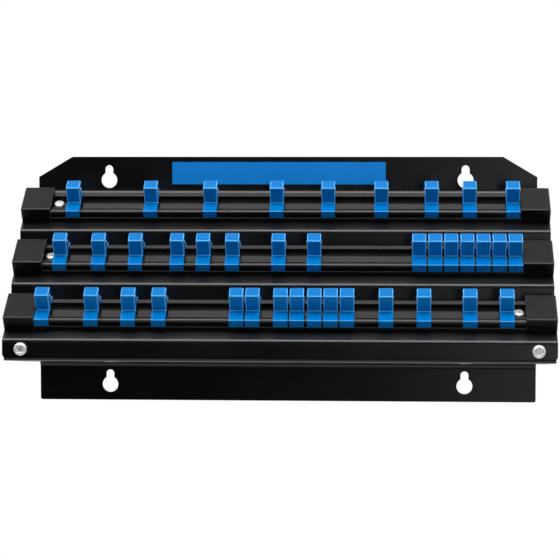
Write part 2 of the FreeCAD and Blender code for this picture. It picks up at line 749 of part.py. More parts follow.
# Clips: a moulded saddle that hooks into the grooves along both sides of the rail, with a square post on top.
# Two steel balls and the spring between them lie in a bore across the post, which narrows at its mouths so
# that the balls stay in.

clip = doc.addObject("PartDesign::Body", "Clip")
saddle = sketch_on(clip, "Clip_saddle_section", "YZ_Plane")
saddle_height = "Layout.SaddleTop - Layout.SkirtEnd"
rectangle(saddle, "-Layout.ClipDepth / 2", "Layout.SkirtEnd", "Layout.ClipDepth", saddle_height)
block = pad(clip, "Clip_saddle", saddle, "Sizes.clip_width", centred=True)
block = round_edges(
    clip,
    "Clip_saddle_rounds",
    block,
    "Sizes.clip_edge_radius",
    lambda edge: near(abs(edge.CenterOfMass.y), "Layout.ClipDepth / 2"),
)
inside = sketch_on(clip, "Clip_inside_section", "YZ_Plane")
inside_half = "(Sizes.rail_width / 2 + Sizes.clip_clearance)"
inside_height = "Sizes.rail_height + Sizes.clip_clearance - Layout.HookTop"
rectangle(inside, f"-{inside_half}", "Layout.HookTop", f"2 * {inside_half}", inside_height)
pocket(clip, "Clip_inside", inside)
mouth = sketch_on(clip, "Clip_mouth_section", "YZ_Plane")
mouth_half = "(Sizes.rail_width / 2 - Sizes.hook_reach)"
hook_height = "Layout.HookTop - Layout.SkirtEnd"
rectangle(mouth, f"-{mouth_half}", "Layout.SkirtEnd", f"2 * {mouth_half}", hook_height)
pocket(clip, "Clip_mouth", mouth)
square = sketch_on(clip, "Clip_post_section", "XY_Plane")
square.setExpression("AttachmentOffset.Base.z", "Layout.SaddleTop")
post_front = "Sizes.post_shift - Sizes.post_size / 2"
rectangle(square, "-Sizes.post_size / 2", post_front, "Sizes.post_size", "Sizes.post_size")
post = pad(clip, "Clip_post", square, "Sizes.post_height")
post = round_edges(
    clip,
    "Clip_post_corners",
    post,
    "Sizes.post_corner_radius",
    lambda edge: along(edge, "z") and near(edge.CenterOfMass.z, "Layout.SaddleTop + Sizes.post_height / 2"),
)
post = round_edges(
    clip,
    "Clip_post_tip",
    post,
    "Sizes.post_tip_radius",
    lambda edge: near(edge.CenterOfMass.z, "Layout.SaddleTop + Sizes.post_height"),
)
bore = sketch_on(clip, "Clip_bore_circle", "YZ_Plane")
circle(bore, "Sizes.post_shift", "Layout.BallHeight", "Sizes.ball_diameter + Sizes.bore_clearance")
pocket(clip, "Clip_bore", bore, "2 * Layout.CatchHalf", centred=True)
mouths = sketch_on(clip, "Clip_ball_mouths_circle", "YZ_Plane")
circle(mouths, "Sizes.post_shift", "Layout.BallHeight", "Sizes.ball_mouth")
pocket(clip, "Clip_ball_mouths", mouths)

ball = doc.addObject("Part::Sphere", "Ball")
ball.setExpression("Radius", "Sizes.ball_diameter / 2")
ball.setExpression("Placement.Base.x", "Layout.BallCentre")
ball.setExpression("Placement.Base.y", "Sizes.post_shift")
ball.setExpression("Placement.Base.z", "Layout.BallHeight")

coil = doc.addObject("Part::Cylinder", "SpringOutside")
coil.setExpression("Radius", "Sizes.spring_diameter / 2")
coil.setExpression("Height", "2 * Layout.SpringHalf")
hollow = doc.addObject("Part::Cylinder", "SpringInside")
hollow.setExpression("Radius", "Layout.SpringBore / 2")
hollow.setExpression("Height", "2 * Layout.SpringHalf")
spring = doc.addObject("Part::Cut", "Spring")
spring.Base = coil
spring.Tool = hollow
spring.Placement = FreeCAD.Placement(Vector(), FreeCAD.Rotation(Vector(0, 1, 0), 90))
spring.setExpression("Placement.Base.x", "-Layout.SpringHalf")
spring.setExpression("Placement.Base.y", "Sizes.post_shift")
spring.setExpression("Placement.Base.z", "Layout.BallHeight")
clip_pieces = [clip] + pair("Ball", ball) + [spring]

# The free travel left between clips, from the left cap to the right cap of each rail, in millimetres.
# Together these take up all the room that the clips leave, so a longer rail or a narrower clip spreads
# them out.

FREE_TRAVEL = {
    "top": [14.25, 58.2, 41.2, 47.5, 33.4, 34.8, 32.0, 20.7, 25.5, 0.35],
    "middle": [8.95, 21.2, 19.4, 23.7, 9.5, 12.3, 27.7, 17.9, 80.5, 0.2, 0.2, 0.2, 0.2, 0.2, 0.2, 0.35],
    "bottom": [0.2, 29.65, 18.8, 13.1, 54.6, 0.2, 10.6, 0.2, 1.2, 0.2, 0.2, 20.1, 19.1, 26.3, 18.1, 10.15],
}

for row, name in enumerate(ROWS):
    travel = FREE_TRAVEL[name]
    count = len(travel) - 1
    for place in range(count):
        piece = group(f"clip_{name}_{place + 1}", clip_pieces)
        piece.addProperty("App::PropertyFloat", "ShareBefore", "Row")
        piece.ShareBefore = sum(travel[: place + 1]) / sum(travel)
        seat_on_tread(piece, row)
        piece.setExpression(
            "Placement.Base.x",
            f"-Layout.ClipReach + {place} * Layout.ClipPitch"
            f" + .ShareBefore * (2 * Layout.ClipReach - {count - 1} * Layout.ClipPitch)",
        )
        sub_parts.append(piece)

doc.recompute()

# Check every object, then write each sub-part

for thing in doc.Objects:
    if "Invalid" in thing.State or "Error" in thing.State:
        raise RuntimeError(f"{thing.Label} did not compute: {thing.State}")
for piece in sub_parts:
    if piece.Shape.isNull() or not piece.Shape.isValid():
        raise RuntimeError(f"{piece.Label} has no valid shape")

os.makedirs("parts", exist_ok=True)
for piece in sub_parts:
    piece.Shape.exportStep(f"parts/{piece.Label}.step")
spacing = 2 * number("Layout.KeyholeHeight")
print(f"wrote {len(sub_parts)} sub-parts, keyholes {spacing:.1f} mm apart in height")
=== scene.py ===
import json
import math

import bmesh
import bpy
from mathutils import Matrix, Vector

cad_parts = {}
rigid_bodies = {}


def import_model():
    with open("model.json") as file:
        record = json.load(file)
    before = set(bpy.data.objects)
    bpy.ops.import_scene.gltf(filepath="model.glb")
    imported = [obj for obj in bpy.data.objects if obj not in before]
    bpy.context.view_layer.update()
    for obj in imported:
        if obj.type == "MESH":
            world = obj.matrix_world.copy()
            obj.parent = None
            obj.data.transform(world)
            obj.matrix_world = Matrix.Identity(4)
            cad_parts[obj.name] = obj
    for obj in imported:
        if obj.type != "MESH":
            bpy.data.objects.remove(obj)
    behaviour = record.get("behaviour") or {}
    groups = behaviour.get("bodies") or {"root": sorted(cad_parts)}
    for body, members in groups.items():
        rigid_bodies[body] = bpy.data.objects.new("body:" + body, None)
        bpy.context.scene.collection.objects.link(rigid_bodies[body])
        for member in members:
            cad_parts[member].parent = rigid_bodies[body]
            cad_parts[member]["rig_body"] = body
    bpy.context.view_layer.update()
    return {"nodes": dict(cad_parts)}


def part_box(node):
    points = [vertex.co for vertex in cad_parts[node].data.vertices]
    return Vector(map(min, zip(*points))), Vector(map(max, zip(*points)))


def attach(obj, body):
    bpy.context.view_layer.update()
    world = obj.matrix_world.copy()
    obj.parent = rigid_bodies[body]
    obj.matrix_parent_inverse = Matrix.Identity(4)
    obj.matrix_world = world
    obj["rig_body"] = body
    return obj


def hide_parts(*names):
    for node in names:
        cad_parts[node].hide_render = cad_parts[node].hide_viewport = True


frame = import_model()

# Stepped panel. One sheet of 2 mm steel, punched and folded into the wall plate, three sloping treads, two
# risers and the front flange, then powder coated black. The coat rounds its cut edges and has a fine orange
# peel.

MM = 0.001
COAT_BLACK = (0.0020, 0.0020, 0.0026, 1)
COAT_EDGE = 0.3 * MM
SMOOTH_UP_TO = math.radians(50)


def start_material(name, colour, roughness):
    """A new material with this colour and roughness on its shader."""
    material = bpy.data.materials.new(name)
    material.use_nodes = True
    shader = material.node_tree.nodes["Principled BSDF"]
    shader.inputs["Base Color"].default_value = colour
    shader.inputs["Roughness"].default_value = roughness
    material.diffuse_color = colour
    return material


def build_surface_grain():
    """Fine relief and slow mottling of a finish, on the piece's own coordinates. Stretch draws the grain out
    along an axis, as brushing and extrusion do."""
    group = bpy.data.node_groups.new("surface_grain", "ShaderNodeTree")
    sockets = group.interface
    for name, kind, value in (
        ("Colour", "NodeSocketColor", (0.5, 0.5, 0.5, 1)),
        ("Mottling", "NodeSocketFloat", 0.1),
        ("Roughness", "NodeSocketFloat", 0.4),
        ("Rubbing", "NodeSocketFloat", 0.05),
        ("Grains per Metre", "NodeSocketFloat", 800.0),
        ("Patches per Metre", "NodeSocketFloat", 30.0),
        ("Stretch", "NodeSocketVector", (1, 1, 1)),
    ):
        socket = sockets.new_socket(name, in_out="INPUT", socket_type=kind)
        socket.default_value = value
    sockets.new_socket("Colour", in_out="OUTPUT", socket_type="NodeSocketColor")
    sockets.new_socket("Roughness", in_out="OUTPUT", socket_type="NodeSocketFloat")
    sockets.new_socket("Height", in_out="OUTPUT", socket_type="NodeSocketFloat")
    nodes, links = group.nodes, group.links
    given = nodes.new("NodeGroupInput")
    result = nodes.new("NodeGroupOutput")
    place = nodes.new("ShaderNodeTexCoord")
    stretched = nodes.new("ShaderNodeVectorMath")
    stretched.operation = "MULTIPLY"
    links.new(place.outputs["Object"], stretched.inputs[0])
    links.new(given.outputs["Stretch"], stretched.inputs[1])

    grain = nodes.new("ShaderNodeTexNoise")
    grain.inputs["Detail"].default_value = 3
    grain.inputs["Roughness"].default_value = 0.55
    links.new(stretched.outputs["Vector"], grain.inputs["Vector"])
    links.new(given.outputs["Grains per Metre"], grain.inputs["Scale"])
    links.new(grain.outputs["Fac"], result.inputs["Height"])

    patches = nodes.new("ShaderNodeTexNoise")
    patches.inputs["Detail"].default_value = 5
    patches.inputs["Roughness"].default_value = 0.6
    patches.inputs["Distortion"].default_value = 0.4
    links.new(place.outputs["Object"], patches.inputs["Vector"])
    links.new(given.outputs["Patches per Metre"], patches.inputs["Scale"])
    centred = nodes.new("ShaderNodeMapRange")
    centred.inputs["From Min"].default_value = 0.3
    centred.inputs["From Max"].default_value = 0.7
    centred.inputs["To Min"].default_value = -1
    centred.inputs["To Max"].default_value = 1
    links.new(patches.outputs["Fac"], centred.inputs["Value"])

    shade = nodes.new("ShaderNodeMath")
    shade.operation = "MULTIPLY_ADD"
    shade.inputs[2].default_value = 1
    links.new(centred.outputs["Result"], shade.inputs[0])
    links.new(given.outputs["Mottling"], shade.inputs[1])
    toned = nodes.new("ShaderNodeVectorMath")
    toned.operation = "SCALE"
    links.new(given.outputs["Colour"], toned.inputs[0])
    links.new(shade.outputs["Value"], toned.inputs["Scale"])
    links.new(toned.outputs["Vector"], result.inputs["Colour"])

    rubbed = nodes.new("ShaderNodeMath")
    rubbed.operation = "MULTIPLY_ADD"
    links.new(centred.outputs["Result"], rubbed.inputs[0])
    links.new(given.outputs["Rubbing"], rubbed.inputs[1])
    links.new(given.outputs["Roughness"], rubbed.inputs[2])
    links.new(rubbed.outputs["Value"], result.inputs["Roughness"])
    return group


surface_grain = build_surface_grain()


def give_grain(material, relief, grains, patches, mottling, rubbing, stretch=(1, 1, 1)):
    """Adds the surface grain to a material. Relief is its height in metres, grains and patches are counts
    to the metre, and mottling and rubbing are how far colour and roughness stray."""
    nodes, links = material.node_tree.nodes, material.node_tree.links
    shader = nodes["Principled BSDF"]
    grain = nodes.new("ShaderNodeGroup")
    grain.node_tree = surface_grain
    grain.inputs["Colour"].default_value = shader.inputs["Base Color"].default_value
    grain.inputs["Roughness"].default_value = shader.inputs["Roughness"].default_value
    grain.inputs["Grains per Metre"].default_value = grains
    grain.inputs["Patches per Metre"].default_value = patches
    grain.inputs["Mottling"].default_value = mottling
    grain.inputs["Rubbing"].default_value = rubbing
    grain.inputs["Stretch"].default_value = stretch
    bump = nodes.new("ShaderNodeBump")
    bump.inputs["Strength"].default_value = 1
    bump.inputs["Distance"].default_value = relief
    links.new(grain.outputs["Colour"], shader.inputs["Base Color"])
    links.new(grain.outputs["Roughness"], shader.inputs["Roughness"])
    links.new(grain.outputs["Height"], bump.inputs["Height"])
    links.new(bump.outputs["Normal"], shader.inputs["Normal"])


powder_coat = start_material("black_powder_coat", COAT_BLACK, 0.30)
give_grain(powder_coat, 0.012 * MM, grains=700, patches=14, mottling=0.12, rubbing=0.03)


def take(piece):
    """Makes one piece the only one that operators act on."""
    bpy.ops.object.select_all(action="DESELECT")
    piece.select_set(True)
    bpy.context.view_layer.objects.active = piece


def merged_copy(node, name):
    """A copy of a node's mesh, its loose triangles merged and its flat faces made whole."""
    source = frame["nodes"][node]
    piece = bpy.data.objects.new(name, source.data.copy())
    bpy.context.collection.objects.link(piece)
    take(piece)
    bpy.ops.mesh.customdata_custom_splitnormals_clear()
    bpy.ops.object.mode_set(mode="EDIT")
    bpy.ops.mesh.select_all(action="SELECT")
    bpy.ops.mesh.remove_doubles(threshold=0.001 * MM)
    bpy.ops.mesh.dissolve_limited(angle_limit=math.radians(0.6))
    bpy.ops.object.mode_set(mode="OBJECT")
    return piece


def finish_edges(piece, width, segments=2, sharper_than=35):
    """Rounds the piece's sharp edges a little and smooths its shading, flat faces kept flat."""
    take(piece)
    bpy.ops.object.modifier_add(type="BEVEL")
    rounding = piece.modifiers[-1]
    rounding.width = width
    rounding.segments = segments
    rounding.limit_method = "ANGLE"
    rounding.angle_limit = math.radians(sharper_than)
    bpy.ops.object.modifier_apply(modifier=rounding.name)
    bpy.ops.object.shade_smooth_by_angle(angle=SMOOTH_UP_TO)
    bpy.ops.object.modifier_add(type="WEIGHTED_NORMAL")
    flats = piece.modifiers[-1]
    flats.keep_sharp = True
    bpy.ops.object.modifier_apply(modifier=flats.name)


def dress(piece, material, slot, body, *nodes):
    """Gives a finished piece its material and its body, and hides the nodes that it stands for. Its slot is
    not used.
    """
    piece.data.materials.clear()
    piece.data.materials.append(material)
    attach(piece, body)
    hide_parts(*nodes)


panel = merged_copy("stepped_panel", "panel_sheet")
finish_edges(panel, COAT_EDGE)
dress(panel, powder_coat, "black_coat", "rack", "stepped_panel")

# Lower bracket. A second folded sheet of the same steel, with the same black coat. It carries the lower
# keyholes and turns up behind the panel's flange, where two screws hold them together.

bracket = merged_copy("lower_bracket", "bracket_sheet")
finish_edges(bracket, COAT_EDGE)
dress(bracket, powder_coat, "black_coat", "rack", "lower_bracket")

# Rails. Aluminium extrusions, anodised black and glossy, with fine lines along them from the die. The wide
# slot along the top takes the screws, and the clips hook round the overhang of the rail's head. A painted
# highlight runs along the edges: a lighter grey base colour there.

RAIL_EDGE = 0.18 * MM
TREAD_RUN = 46.2 * MM
TREAD_DROP = 30.9 * MM
STEP_HEIGHT = 46.6 * MM
TOP_FOLD = Vector((0, -54.3 * MM, 51.31 * MM))
RAIL_FROM_FOLD = 31.2 * MM


def tread_place(row):
    """A row's own axes: X along the rail from its middle, Y up the tread, Z out of its face."""
    tilt = math.atan2(TREAD_DROP, TREAD_RUN)
    fold = TOP_FOLD - row * Vector((0, TREAD_RUN, STEP_HEIGHT))
    middle = fold + RAIL_FROM_FOLD * Vector((0, math.cos(tilt), math.sin(tilt)))
    return Matrix.Translation(middle) @ Matrix.Rotation(tilt, 4, "X")


def build_painted_edge_highlight():
    """Paints a highlight: blends to a lighter colour where the mesh's edge attribute says that the surface
    turns.
    """
    group = bpy.data.node_groups.new("painted_edge_highlight", "ShaderNodeTree")
    for name in ("Colour", "Edge Colour"):
        group.interface.new_socket(name, in_out="INPUT", socket_type="NodeSocketColor")
    group.interface.new_socket("Colour", in_out="OUTPUT", socket_type="NodeSocketColor")
    given = group.nodes.new("NodeGroupInput")
    result = group.nodes.new("NodeGroupOutput")
    mark = group.nodes.new("ShaderNodeAttribute")
    mark.attribute_name = "edge"
    blend = group.nodes.new("ShaderNodeMix")
    blend.data_type = "RGBA"
    group.links.new(mark.outputs["Fac"], blend.inputs["Factor"])
    group.links.new(given.outputs["Colour"], blend.inputs[6])
    group.links.new(given.outputs["Edge Colour"], blend.inputs[7])
    group.links.new(blend.outputs[2], result.inputs["Colour"])
    return group


painted_edge_highlight = build_painted_edge_highlight()


def add_painted_highlight(material, colour):
    """Gives a grained material a painted highlight, a lighter colour along its edges."""
    tree = material.node_tree
    shader = tree.nodes["Principled BSDF"]
    highlight_paint = tree.nodes.new("ShaderNodeGroup")
    highlight_paint.node_tree = painted_edge_highlight
    tree.links.new(shader.inputs["Base Color"].links[0].from_socket, highlight_paint.inputs["Colour"])
    highlight_paint.inputs["Edge Colour"].default_value = colour
    tree.links.new(highlight_paint.outputs["Colour"], shader.inputs["Base Color"])


def mark_highlight_faces(piece, axes, plain=None):
    """Marks the faces that turn away from all three axes, apart from those that pass the plain test, for the
    painted edge highlight. The mark grows from 0 where a face leans from an axis by 8 degrees to 1 at 27
    degrees."""
    starts, full = math.cos(math.radians(8.1)), math.cos(math.radians(27.1))
    mark = piece.data.attributes.new("edge", "FLOAT", "FACE")
    back = axes.to_3x3().inverted()
    for face in piece.data.polygons:
        if plain is None or not plain(face.center):
            nearest = max(abs(part) for part in back @ face.normal)
            mark.data[face.index].value = min(1, max(0, starts - nearest) / (starts - full))


rail_finish = start_material("black_anodised", (0.0065, 0.0063, 0.0060, 1), 0.16)
give_grain(
    rail_finish, 0.004 * MM, grains=1800, patches=20, mottling=0.15, rubbing=0.03, stretch=(0.01, 1, 1)
)
# the lighter grey along the rails' edges is a painted highlight
add_painted_highlight(rail_finish, (0.05, 0.05, 0.05, 1))
for row, name in enumerate(("top", "middle", "bottom")):
    rail = merged_copy(f"rail_{name}", f"rail_{name}_extrusion")
    finish_edges(rail, RAIL_EDGE)
    mark_highlight_faces(rail, tread_place(row))
    dress(rail, rail_finish, "rail_black", "rack", f"rail_{name}")

# End caps. Moulded in black plastic with a satin, lightly textured face, and pushed over the rails' ends.
# A painted highlight runs along their rounded edges: a lighter grey base colour there.

CAP_EDGE = 0.8 * MM

cap_plastic = start_material("satin_black_plastic", (0.0045, 0.0042, 0.0040, 1), 0.36)
cap_plastic.node_tree.nodes["Principled BSDF"].inputs["Specular IOR Level"].default_value = 0.18
give_grain(cap_plastic, 0.010 * MM, grains=2500, patches=40, mottling=0.08, rubbing=0.04)
# the lighter grey along the caps' edges is a painted highlight
add_painted_highlight(cap_plastic, (0.075, 0.075, 0.072, 1))
for row, name in enumerate(("top", "middle", "bottom")):
    for side in ("left", "right"):
        cap = merged_copy(f"end_cap_{name}_{side}", f"cap_{name}_{side}_moulding")
        finish_edges(cap, CAP_EDGE, segments=4)
        mark_highlight_faces(cap, tread_place(row))
        dress(cap, cap_plastic, "cap_plastic", "rack", f"end_cap_{name}_{side}")

# Screws. Cross-recess pan heads in bright zinc. Four millimetre ones hold the rails down in their slots, and
# six millimetre ones join the two sheets. Each is modelled once, along Z, with the origin under its head.

ZINC = (0.92, 0.92, 0.90, 1)

zinc_plate = start_material("bright_zinc", ZINC, 0.36)
# only half metal: the near-white diffuse share is a painted sheen that whitens the heads as reflections
# would
zinc_plate.node_tree.nodes["Principled BSDF"].inputs["Metallic"].default_value = 0.55
give_grain(zinc_plate, 0.004 * MM, grains=3000, patches=250, mottling=0.06, rubbing=0.08)


def pick(piece, kind, test):
    """Selects, in edit mode, the faces or edges whose middle and normal, or direction, pass the test."""
    bpy.ops.mesh.select_mode(type=kind)
    bpy.ops.mesh.select_all(action="DESELECT")
    shape = bmesh.from_edit_mesh(piece.data)
    shape.normal_update()
    chosen = []
    if kind == "FACE":
        for face in shape.faces:
            if test(face.calc_center_median(), face.normal):
                chosen.append(face)
    else:
        for edge in shape.edges:
            ends = [corner.co for corner in edge.verts]
            if test((ends[0] + ends[1]) / 2, (ends[1] - ends[0]).normalized()):
                chosen.append(edge)
    for part in chosen:
        part.select_set(True)
    bmesh.update_edit_mesh(piece.data)


def push(value):
    """Extrudes what is selected by a vector."""
    bpy.ops.mesh.extrude_region_move(TRANSFORM_OT_translate={"value": value})


RECESS_SPAN = 0.60
RECESS_ARM = 0.17
RECESS_DEPTH = 0.75
RECESS_TAPER = 0.45


def cross_cutter(head, top, depth):
    """The driver's point that pressed the recess: a cross whose arms slope in towards its tip."""
    reach = RECESS_SPAN * head / 2
    half = RECESS_ARM * head / 2
    bpy.ops.object.select_all(action="DESELECT")
    bpy.ops.mesh.primitive_cube_add(
        size=1, location=(0, 0, top - depth / 2), scale=(2 * half, 2 * half, depth)
    )
    cutter = bpy.context.object
    bpy.ops.object.transform_apply(location=True, rotation=False, scale=True)
    bpy.ops.object.mode_set(mode="EDIT")
    for axis in ((1, 0, 0), (-1, 0, 0), (0, 1, 0), (0, -1, 0)):
        way = Vector(axis)
        pick(cutter, "FACE", lambda middle, normal: normal.dot(way) > 0.9)
        push(way * (reach - half))
    pick(cutter, "FACE", lambda middle, normal: normal.z < -0.9)
    bpy.ops.transform.resize(value=(RECESS_TAPER, RECESS_TAPER, 1), center_override=(0, 0, top - depth))
    pick(cutter, "FACE", lambda middle, normal: normal.z > 0.9)
    push((0, 0, depth))
    bpy.ops.object.mode_set(mode="OBJECT")
    return cutter


def cut(piece, cutter):
    """Takes the cutter's shape out of the piece and puts the cutter away."""
    take(piece)
    bpy.ops.object.modifier_add(type="BOOLEAN")
    taking = piece.modifiers[-1]
    taking.operation = "DIFFERENCE"
    taking.solver = "EXACT"
    taking.object = cutter
    bpy.ops.object.modifier_apply(modifier=taking.name)
    bpy.data.objects.remove(cutter)


DOME = 0.62
POINT = 0.12
POINT_WIDTH = 0.76


def pan_screw(name, diameter, head, height, length):
    """One pan head screw: the domed head, the shank with a chamfered tip, and the pressed cross."""
    bpy.ops.object.select_all(action="DESELECT")
    bpy.ops.mesh.primitive_cylinder_add(
        vertices=48, radius=head / 2, depth=height, location=(0, 0, height / 2)
    )
    piece = bpy.context.object
    piece.name = name
    bpy.ops.object.transform_apply(location=True, rotation=False, scale=True)
    bpy.ops.object.mode_set(mode="EDIT")
    pick(piece, "EDGE", lambda middle, along: middle.z > height - 1e-6)
    bpy.ops.mesh.bevel(offset=DOME * height, segments=7, profile=0.5, affect="EDGES")
    pick(piece, "FACE", lambda middle, normal: normal.z < -0.9)
    bpy.ops.mesh.inset(thickness=(head - diameter) / 2)
    push((0, 0, -(length - POINT * diameter)))
    push((0, 0, -POINT * diameter))
    bpy.ops.transform.resize(value=(POINT_WIDTH, POINT_WIDTH, 1), center_override=(0, 0, -length))
    bpy.ops.object.mode_set(mode="OBJECT")
    cut(piece, cross_cutter(head, height, RECESS_DEPTH * height))
    finish_edges(piece, 0.08 * MM, segments=1, sharper_than=50)
    return piece


def placed_copies(piece, name, places):
    """One mesh that holds the piece at each of the places, its object at the origin."""
    shape = bmesh.new()
    for place in places:
        one = piece.data.copy()
        one.transform(place)
        shape.from_mesh(one)
        bpy.data.meshes.remove(one)
    mesh = bpy.data.meshes.new(name)
    shape.to_mesh(mesh)
    shape.free()
    made = bpy.data.objects.new(name, mesh)
    bpy.context.collection.objects.link(made)
    take(made)
    bpy.ops.object.shade_smooth_by_angle(angle=SMOOTH_UP_TO)
    return made


SCREW_X = 210.9 * MM
SLOT_FLOOR = 6.2 * MM
rail_screw = pan_screw("rail_screw", diameter=4.0 * MM, head=9.6 * MM, height=3.1 * MM, length=12.0 * MM)
for row, name in enumerate(("top", "middle", "bottom")):
    seats = [
        tread_place(row) @ Matrix.Translation((x, 0, SLOT_FLOOR)) @ Matrix.Rotation(turn, 4, "Z")
        for x, turn in ((-SCREW_X, 0.3 + row), (SCREW_X, 1.1 - row))
    ]
    screws = placed_copies(rail_screw, f"screws_{name}_rail", seats)
    dress(screws, zinc_plate, "bright_steel", "rack", f"rail_screws_{name}")
bpy.data.objects.remove(rail_screw)

FLANGE_SCREW = Vector((227.7 * MM, -146.7 * MM, -49.7 * MM))
facing_out = Matrix.Rotation(math.pi / 2, 4, "X")
panel_screw = pan_screw(
    "panel_screw", diameter=6.0 * MM, head=11.6 * MM, height=4.2 * MM, length=12.0 * MM
)
seats = []
for side, turn in ((-1, 0.12), (1, 0.6)):
    seat = Matrix.Translation((side * FLANGE_SCREW.x, FLANGE_SCREW.y, FLANGE_SCREW.z))
    seats.append(seat @ facing_out @ Matrix.Rotation(turn, 4, "Z"))
screws = placed_copies(panel_screw, "screws_front_flange", seats)
dress(screws, zinc_plate, "bright_steel", "rack", "panel_screws")
bpy.data.objects.remove(panel_screw)

# Nuts. Plain hexagon nuts in the same zinc, chamfered on both faces. They sit on the screws behind the
# treads and behind the bracket's flange.

SHEET = 2.0 * MM
NUT_CHAMFER = 0.11
NUT_TURNED = 0.515
BORE_ROOM = 0.03 * MM


def hex_nut(name, flats, bore, height):
    """One hexagon nut with its upper face at the origin and its body down Z."""
    bpy.ops.object.select_all(action="DESELECT")
    across = flats / math.cos(math.pi / 6)
    bpy.ops.mesh.primitive_cylinder_add(
        vertices=6, radius=across / 2, depth=height, location=(0, 0, -height / 2), end_fill_type="NGON"
    )
    piece = bpy.context.object
    piece.name = name
    bpy.ops.object.transform_apply(location=True, rotation=False, scale=True)
    bpy.ops.mesh.primitive_cylinder_add(
        vertices=48, radius=NUT_TURNED * across, depth=height, location=(0, 0, -height / 2)
    )
    turned = bpy.context.object
    bpy.ops.object.transform_apply(location=True, rotation=False, scale=True)
    bpy.ops.object.mode_set(mode="EDIT")
    pick(turned, "EDGE", lambda middle, along: abs(along.z) < 0.1)
    bpy.ops.mesh.bevel(offset=NUT_CHAMFER * across, segments=1, affect="EDGES")
    bpy.ops.object.mode_set(mode="OBJECT")
    take(piece)
    bpy.ops.object.modifier_add(type="BOOLEAN")
    keeping = piece.modifiers[-1]
    keeping.operation = "INTERSECT"
    keeping.solver = "EXACT"
    keeping.object = turned
    bpy.ops.object.modifier_apply(modifier=keeping.name)
    bpy.data.objects.remove(turned)
    bpy.ops.mesh.primitive_cylinder_add(
        vertices=32, radius=bore / 2 + BORE_ROOM, depth=2 * height, location=(0, 0, -height / 2)
    )
    drill = bpy.context.object
    bpy.ops.object.transform_apply(location=True, rotation=False, scale=True)
    cut(piece, drill)
    return piece


rail_nut = hex_nut("rail_nut", flats=7.0 * MM, bore=4.0 * MM, height=3.2 * MM)
for row, name in enumerate(("top", "middle", "bottom")):
    seats = [tread_place(row) @ Matrix.Translation((x, 0, -SHEET)) for x in (-SCREW_X, SCREW_X)]
    nuts = placed_copies(rail_nut, f"nuts_{name}_rail", seats)
    dress(nuts, zinc_plate, "bright_steel", "rack", f"rail_nuts_{name}")
bpy.data.objects.remove(rail_nut)

panel_nut = hex_nut("panel_nut", flats=10.0 * MM, bore=6.0 * MM, height=5.0 * MM)
seats = []
for side in (-1, 1):
    seat = Matrix.Translation((side * FLANGE_SCREW.x, FLANGE_SCREW.y + 2 * SHEET, FLANGE_SCREW.z))
    seats.append(seat @ facing_out)
nuts = placed_copies(panel_nut, "nuts_front_flange", seats)
dress(nuts, zinc_plate, "bright_steel", "rack", "panel_nuts")
bpy.data.objects.remove(panel_nut)

# Clips. Each is one glossy blue moulding: a saddle with skirts that hook under the rail's head, and a square
# post with rounded corners and the balls' bore across it. A painted highlight runs along its edges: a
# lighter blue base colour there.

CLIP_HALF = 6.35 * MM
SADDLE_HALF = 16.8 * MM
SKIRT_INSIDE = 15.7 * MM
MOUTH_HALF = 13.7 * MM
SADDLE_TOP = 11.9 * MM
SADDLE_UNDER = 10.6 * MM
HOOK_TOP = 7.2 * MM
HOOK_LOW = 4.2 * MM
POST_FRONT = -3.15 * MM
POST_BACK = 9.55 * MM
POST_TIP = 28.3 * MM
POST_CORNER = 1.2 * MM
TIP_EDGE = 1.5 * MM
POST_FOOT = 0.8 * MM
FRONT_EDGE = 1.6 * MM
HOOK_EDGE = 0.4 * MM
CLOSE = 0.001 * MM
MOULDING_EDGE = 0.4 * MM
BALL_PLACE = Vector((0, 3.2 * MM, 22.3 * MM))
BORE_RADIUS = 2.55 * MM
MOUTH_RADIUS = 2.1 * MM
MOUTH_STARTS = 5.5 * MM
MOUTH_NARROWS = 5.93 * MM
NEAR_BORE = 2.8 * MM

clip_plastic = start_material("glossy_blue_plastic", (0.0, 0.142, 0.44, 1), 0.18)
shader = clip_plastic.node_tree.nodes["Principled BSDF"]
shader.inputs["Specular IOR Level"].default_value = 0.25
shader.inputs["Specular Tint"].default_value = (0.2, 0.8, 1.0, 1)
give_grain(clip_plastic, 0.004 * MM, grains=1500, patches=120, mottling=0.05, rubbing=0.04)
# the light blue along the clips' edges is a painted highlight
add_painted_highlight(clip_plastic, (0.10, 0.48, 1.0, 1))


def slice_at(place, normal):
    """Cuts an edge loop right round the piece in edit mode where a plane passes."""
    bpy.ops.mesh.select_all(action="SELECT")
    bpy.ops.mesh.bisect(plane_co=place, plane_no=normal)


def bevel_edges(piece, test, width, segments):
    """Rounds the edges that pass the test."""
    pick(piece, "EDGE", test)
    bpy.ops.mesh.bevel(
        offset=width, segments=segments, profile=0.5, affect="EDGES", clamp_overlap=True
    )


bpy.ops.object.select_all(action="DESELECT")
bpy.ops.mesh.primitive_cube_add(
    size=1,
    location=(0, 0, (SADDLE_TOP + SADDLE_UNDER) / 2),
    scale=(2 * CLIP_HALF, 2 * SADDLE_HALF, SADDLE_TOP - SADDLE_UNDER),
)
clip = bpy.context.object
clip.name = "clip_pattern"
bpy.ops.object.transform_apply(location=True, rotation=False, scale=True)
bpy.ops.object.mode_set(mode="EDIT")
for y in (-SKIRT_INSIDE, POST_FRONT, POST_BACK, SKIRT_INSIDE):
    slice_at((0, y, 0), (0, 1, 0))
pick(clip, "FACE", lambda middle, normal: normal.z < -0.9 and abs(middle.y) > SKIRT_INSIDE)
push((0, 0, HOOK_TOP - SADDLE_UNDER))
push((0, 0, HOOK_LOW - HOOK_TOP))
for side in (-1, 1):
    pick(
        clip,
        "FACE",
        lambda middle, normal: normal.y * side < -0.9 and middle.z < HOOK_TOP and middle.y * side > 0,
    )
    push((0, side * (MOUTH_HALF - SKIRT_INSIDE), 0))
